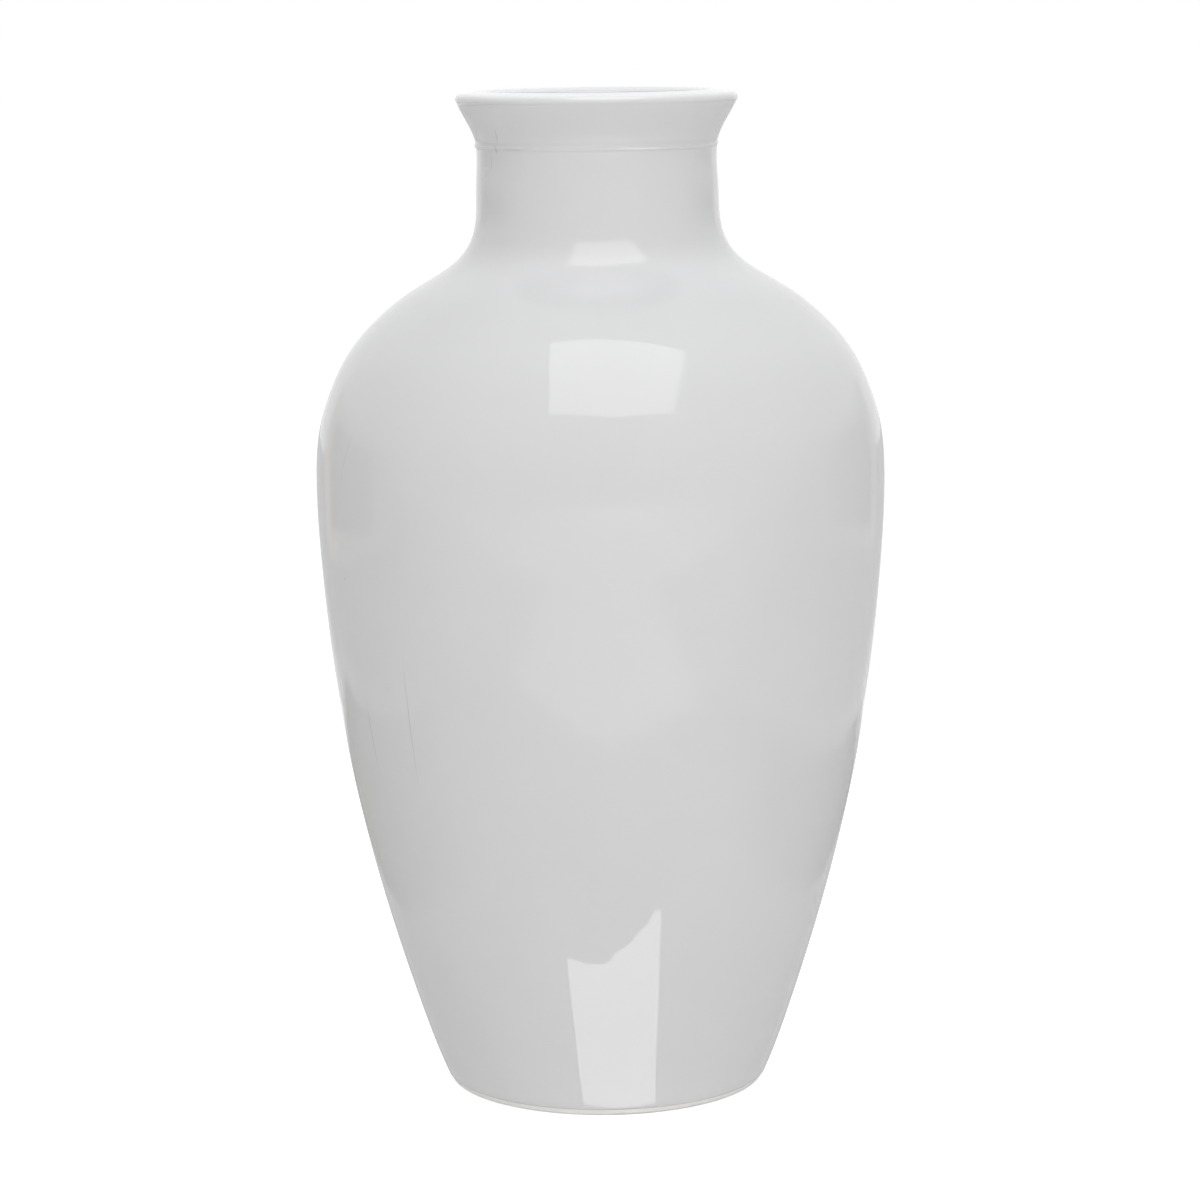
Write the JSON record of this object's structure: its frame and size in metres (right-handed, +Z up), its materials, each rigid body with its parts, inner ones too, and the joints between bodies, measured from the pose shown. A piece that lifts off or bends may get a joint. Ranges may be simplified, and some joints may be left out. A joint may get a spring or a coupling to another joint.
{
  "type": "vase",
  "caption": "White glazed porcelain meiping-type vase with a small foot, a high round shoulder, a short neck and an everted lip, thrown in luted sections.",
  "frame": {"origin": "centre of the foot's rim, on the plane that the vase stands on", "axes": "+Z up along the axis of the vase; -Y faces the camera of the picture; the vase is round, so X and Y are otherwise free"},
  "size_m": [0.216, 0.216, 0.38],
  "materials": {
    "clay": "matte unglazed porcelain biscuit",
    "slip": "matte porcelain slip",
    "glaze": "glossy white glaze"
  },
  "bodies": {
    "root": {"base_section": "clay", "lower_body_section": "clay", "upper_body_section": "clay", "neck_section": "clay", "mouth_section": "clay", "base_slip_seam": "slip", "body_slip_seam": "slip", "shoulder_slip_seam": "slip", "mouth_slip_seam": "slip", "outer_glaze": "glaze", "inner_glaze": "glaze", "foot_glaze": "glaze"}
  },
  "joints": []
}
